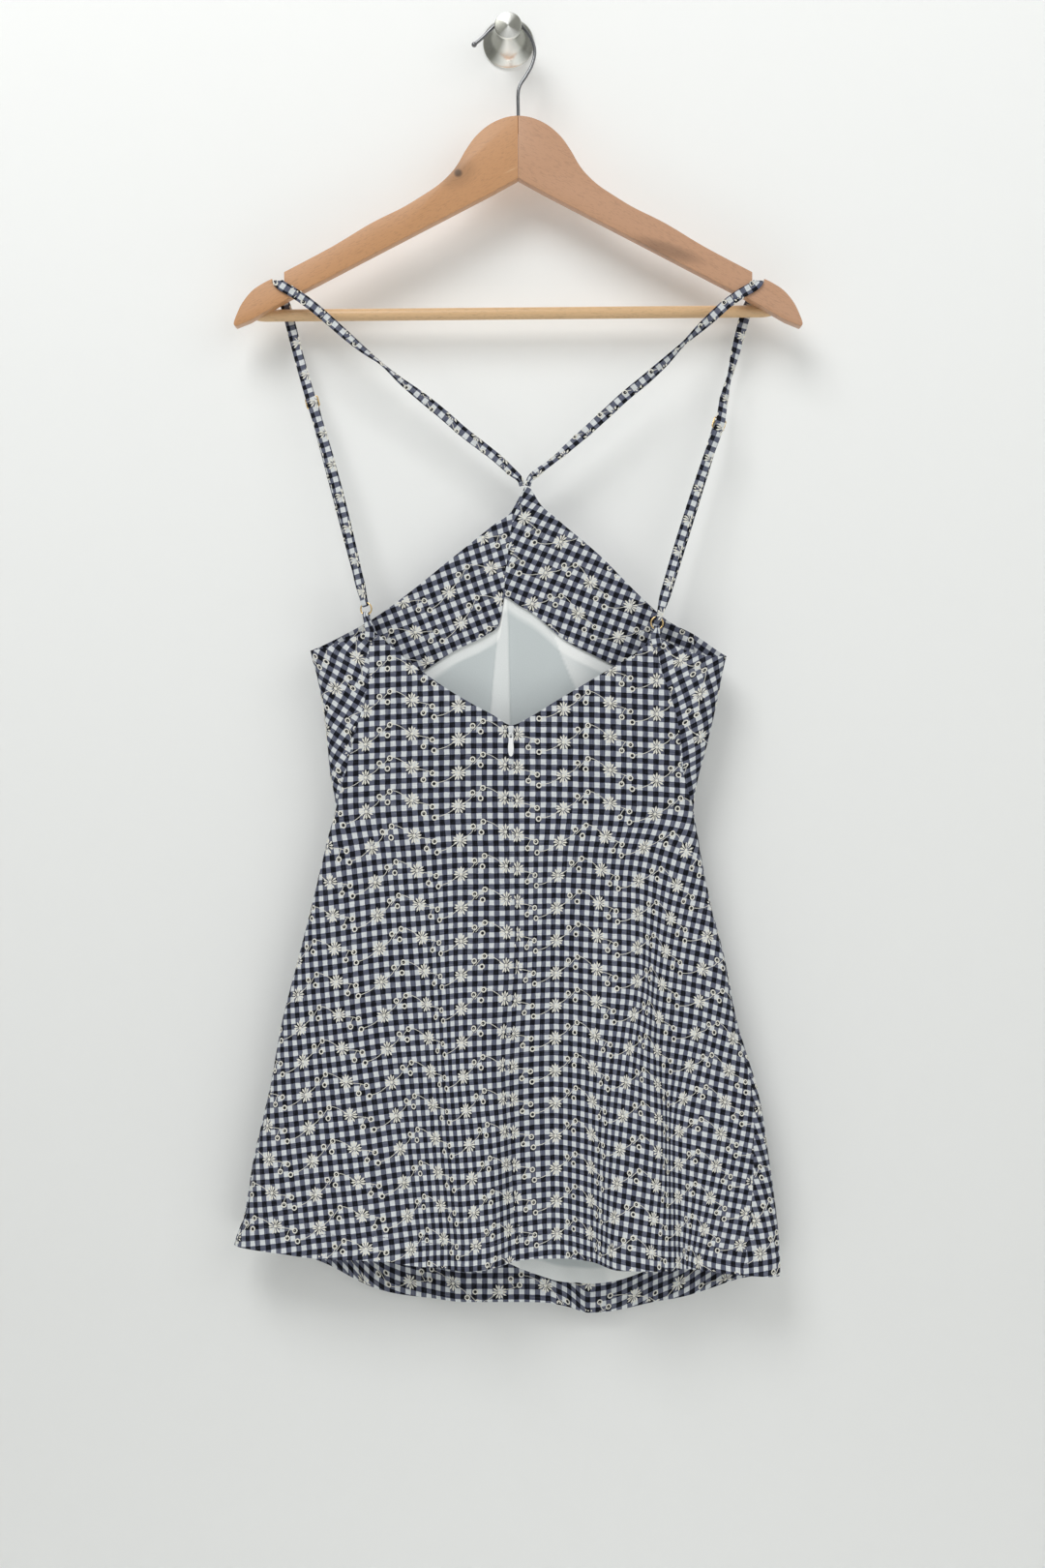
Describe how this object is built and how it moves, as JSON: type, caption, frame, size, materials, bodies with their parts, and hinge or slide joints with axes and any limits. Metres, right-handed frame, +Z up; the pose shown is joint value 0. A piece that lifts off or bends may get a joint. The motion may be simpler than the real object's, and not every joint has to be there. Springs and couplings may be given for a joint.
{
  "type": "sundress on a hanger and wall knob",
  "caption": "Short sleeveless sundress in embroidered check cloth, hung flat by its crossed straps on a wooden hanger, whose hook hangs on a round wall knob.",
  "frame": {"origin": "centre of the wall knob's back face, where the knob is fixed to the wall", "axes": "+Z up, +Y into the wall, -Y into the room, +X to the right as seen from the room; the dress shows its back to the room"},
  "size_m": [0.4468, 0.0659, 1.0363],
  "materials": {
    "gingham": "yarn-dyed navy and white checked cotton with cream embroidery",
    "lining": "plain white cotton voile",
    "gilt_metal": "pale gold plated",
    "white_enamel": "white enamelled zinc",
    "beech": "sanded beech with clear lacquer",
    "hook_steel": "zinc-plated steel wire",
    "knob_steel": "satin brushed stainless steel"
  },
  "bodies": {
    "garment": {"back_left": "gingham", "back_right": "gingham", "front_bodice_left": "gingham", "front_bodice_right": "gingham", "front_skirt": "gingham", "neck_facing_left": "gingham", "neck_facing_right": "gingham", "front_lining": "lining", "front_hem_facing": "gingham", "strap_left": "gingham", "strap_right": "gingham", "strap_slider_left": "gilt_metal", "strap_slider_right": "gilt_metal", "strap_ring_left": "gilt_metal", "strap_ring_right": "gilt_metal", "ring_tab_left": "gingham", "ring_tab_right": "gingham", "zip_slider": "white_enamel", "hanger_arm_left": "beech", "hanger_arm_right": "beech", "hanger_bar": "beech", "hanger_hook": "hook_steel", "wall_knob": "knob_steel"},
    "pull": {"zip_pull": "white_enamel"}
  },
  "joints": [
    {"name": "zip_pull_swing", "type": "hinge", "parent": "garment", "child": "pull", "pos_m": [0.0022, -0.05, -0.5556], "axis": [-1, 0, 0], "range_deg": [0, 150]}
  ]
}
